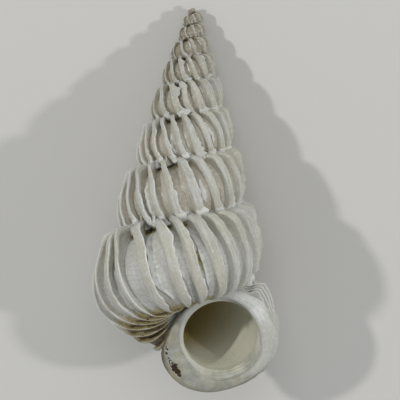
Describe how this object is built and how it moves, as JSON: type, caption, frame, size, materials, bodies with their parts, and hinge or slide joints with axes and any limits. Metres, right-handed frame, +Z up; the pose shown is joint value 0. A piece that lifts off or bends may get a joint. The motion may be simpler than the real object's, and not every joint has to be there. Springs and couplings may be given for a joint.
{
  "type": "wentletrap shell",
  "caption": "Slender spiral sea shell with loose round whorls, a thin raised rib at every growth stop and a round thick-lipped mouth, lying on its back.",
  "frame": {"origin": "middle of the underside of the shell's box, on the surface that the shell lies on", "axes": "+Z up from the surface, out of the mouth; +Y along the shell's length, from the mouth towards the tip; +X across it, towards the outer edge of the lip"},
  "size_m": [0.0196, 0.0394, 0.0174],
  "materials": {
    "shell": "white to grey porcelain-like lime, satin on the ribs and lip, dull between the ribs"
  },
  "bodies": {
    "root": {"shell": "shell"}
  },
  "joints": []
}
